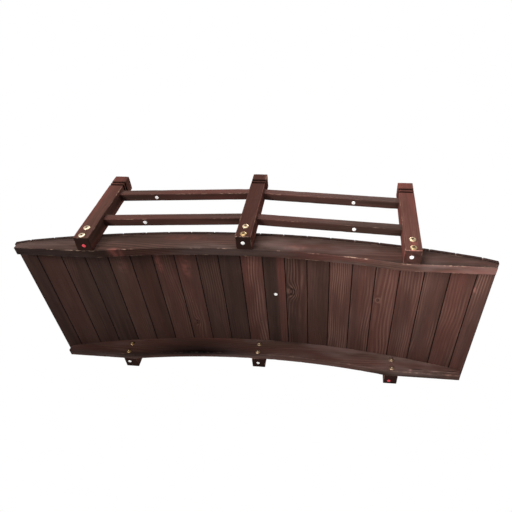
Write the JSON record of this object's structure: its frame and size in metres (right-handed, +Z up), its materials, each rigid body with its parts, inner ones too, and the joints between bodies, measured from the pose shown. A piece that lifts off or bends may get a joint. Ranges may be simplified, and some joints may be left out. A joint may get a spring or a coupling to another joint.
{
  "type": "arched garden footbridge (moon bridge)",
  "caption": "Low arched wooden garden bridge: two sawn stringers, cross-boarded deck, grooved square posts bolted on outside and sloping paired rails.",
  "frame": {"origin": "on the ground under mid-span, midway between the stringers", "axes": "+X along the bridge, +Y from the front railing to the back one, +Z up"},
  "size_m": [1.516, 0.644, 0.407],
  "materials": {
    "stringer": "dark red-brown stain, satin, weathered",
    "deck_board": "dark red-brown stain, satin, weathered",
    "post": "dark red-brown stain, satin, weathered",
    "rail": "dark red-brown stain, satin, weathered",
    "bolt": "yellow passivated zinc plate",
    "dot": "plain paper dot"
  },
  "bodies": {
    "root": {"stringer_front": "stringer", "stringer_back": "stringer", "board_01": "deck_board", "board_02": "deck_board", "board_03": "deck_board", "board_04": "deck_board", "board_05": "deck_board", "board_06": "deck_board", "board_07": "deck_board", "board_08": "deck_board", "board_09": "deck_board", "board_10": "deck_board", "board_11": "deck_board", "board_12": "deck_board", "board_13": "deck_board", "board_14": "deck_board", "board_15": "deck_board", "board_16": "deck_board", "board_17": "deck_board", "board_18": "deck_board", "board_19": "deck_board", "board_20": "deck_board", "board_21": "deck_board", "post_front_left": "post", "post_front_middle": "post", "post_front_right": "post", "post_back_left": "post", "post_back_middle": "post", "post_back_right": "post", "rail_front_left_lower": "rail", "rail_front_left_upper": "rail", "rail_front_right_lower": "rail", "rail_front_right_upper": "rail", "rail_back_left_lower": "rail", "rail_back_left_upper": "rail", "rail_back_right_lower": "rail", "rail_back_right_upper": "rail"}
  },
  "joints": []
}
